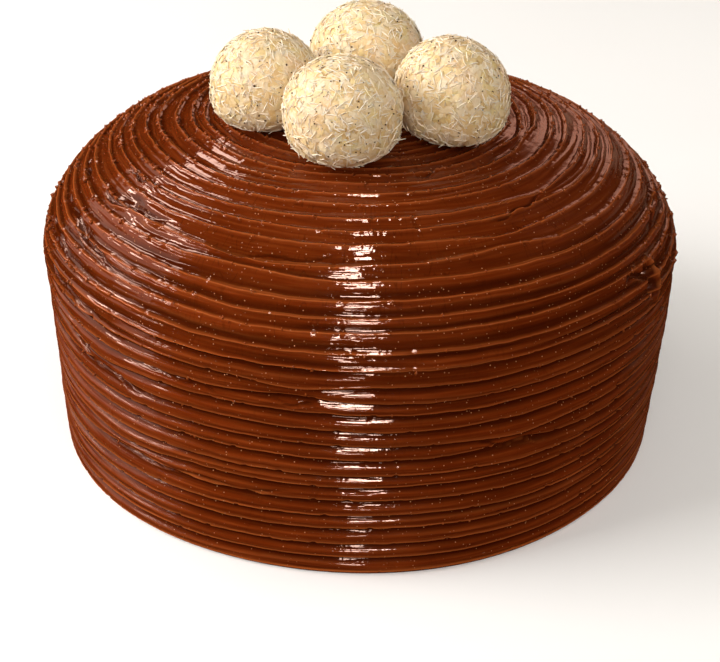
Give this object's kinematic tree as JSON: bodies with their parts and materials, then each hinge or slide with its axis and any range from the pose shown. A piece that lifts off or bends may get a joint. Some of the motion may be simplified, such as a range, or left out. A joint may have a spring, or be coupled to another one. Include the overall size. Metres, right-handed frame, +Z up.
{
  "type": "chocolate passion fruit cake",
  "caption": "Uncut round cake with a low dome, combed chocolate frosting in level ridges all over, and cream truffles coated in fine shreds resting on top.",
  "frame": {"origin": "centre of the cake's flat foot, on the surface that it stands on", "axes": "+Z up along the cake's axis, -Y towards the front, the side that the picture shows, and +X to the right as seen from the front"},
  "size_m": [0.211, 0.2101, 0.1439],
  "materials": {
    "frosting": "glossy milk chocolate frosting, combed",
    "truffle": "cream coating of fine pale shreds with small dark specks"
  },
  "bodies": {
    "root": {"cake": "frosting", "truffle_left": "truffle", "truffle_front": "truffle", "truffle_back": "truffle", "truffle_right": "truffle"}
  },
  "joints": []
}
